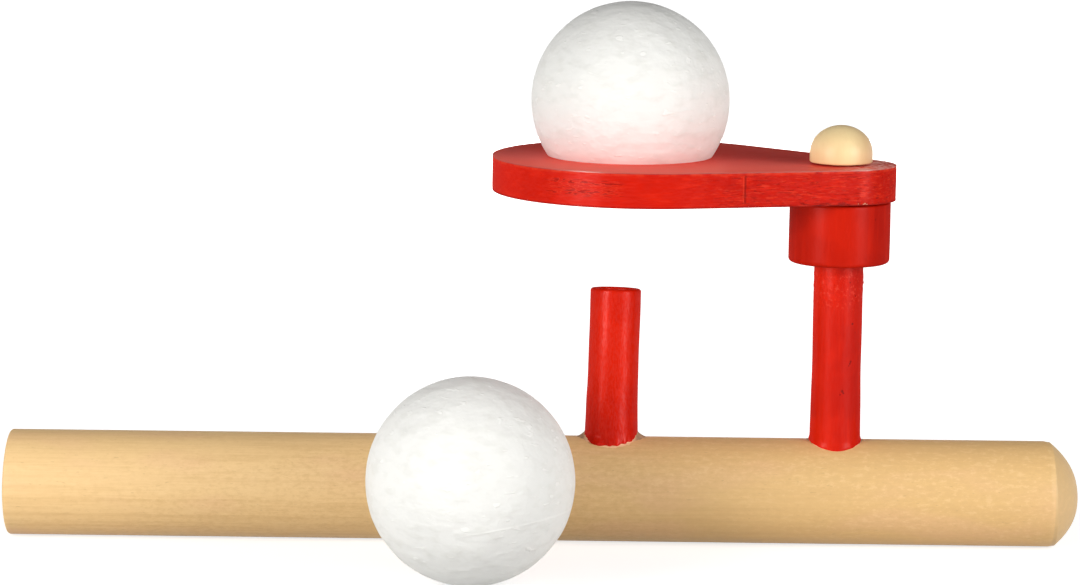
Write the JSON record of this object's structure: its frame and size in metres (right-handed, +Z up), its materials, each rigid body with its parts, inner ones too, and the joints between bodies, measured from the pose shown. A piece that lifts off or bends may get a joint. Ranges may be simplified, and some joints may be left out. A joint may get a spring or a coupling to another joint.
{
  "type": "blow ball pipe toy",
  "caption": "Wooden blow pipe with an upright blow tube, a post with a swinging plate that holds a light foam ball over the jet, and a spare ball.",
  "frame": {"origin": "on the pipe's axis in the middle of the hand's grip, 60 mm from the mouth face", "axes": "+X along the pipe from the mouth end to the tip, +Z up along the post, +Y to the back of the toy"},
  "size_m": [0.2147, 0.1012, 0.108],
  "materials": {
    "pale_wood": "sanded, satin, fine lengthwise grain",
    "red_tube": "satin red paint on wood",
    "red_post": "satin red paint on wood",
    "red_collar": "satin red paint on turned wood",
    "red_plate": "satin red paint on sawn wood",
    "cream_wood": "smooth, satin",
    "white_foam": "expanded foam beads, matte"
  },
  "bodies": {
    "pipe_and_post": {"pipe": "pale_wood", "blow_tube": "red_tube", "post": "red_post", "collar": "red_collar", "pivot_peg": "cream_wood"},
    "swing_plate": {"plate": "red_plate"},
    "floating_ball": {"ball": "white_foam"},
    "loose_ball": {"spare_ball": "white_foam"}
  },
  "joints": [
    {"name": "plate_swing", "type": "hinge", "parent": "pipe_and_post", "child": "swing_plate", "pos_m": [0.1062, 0, 0.0628], "axis": [0, 0, 1], "continuous": true},
    {"name": "ball_float", "type": "slide", "parent": "swing_plate", "child": "floating_ball", "axis": [0, 0, 1], "range_m": [0, 0.08]},
    {"name": "spare_ball_pick_up", "type": "slide", "parent": "pipe_and_post", "child": "loose_ball", "axis": [0, 0, 1], "range_m": [0, 0.025]}
  ]
}
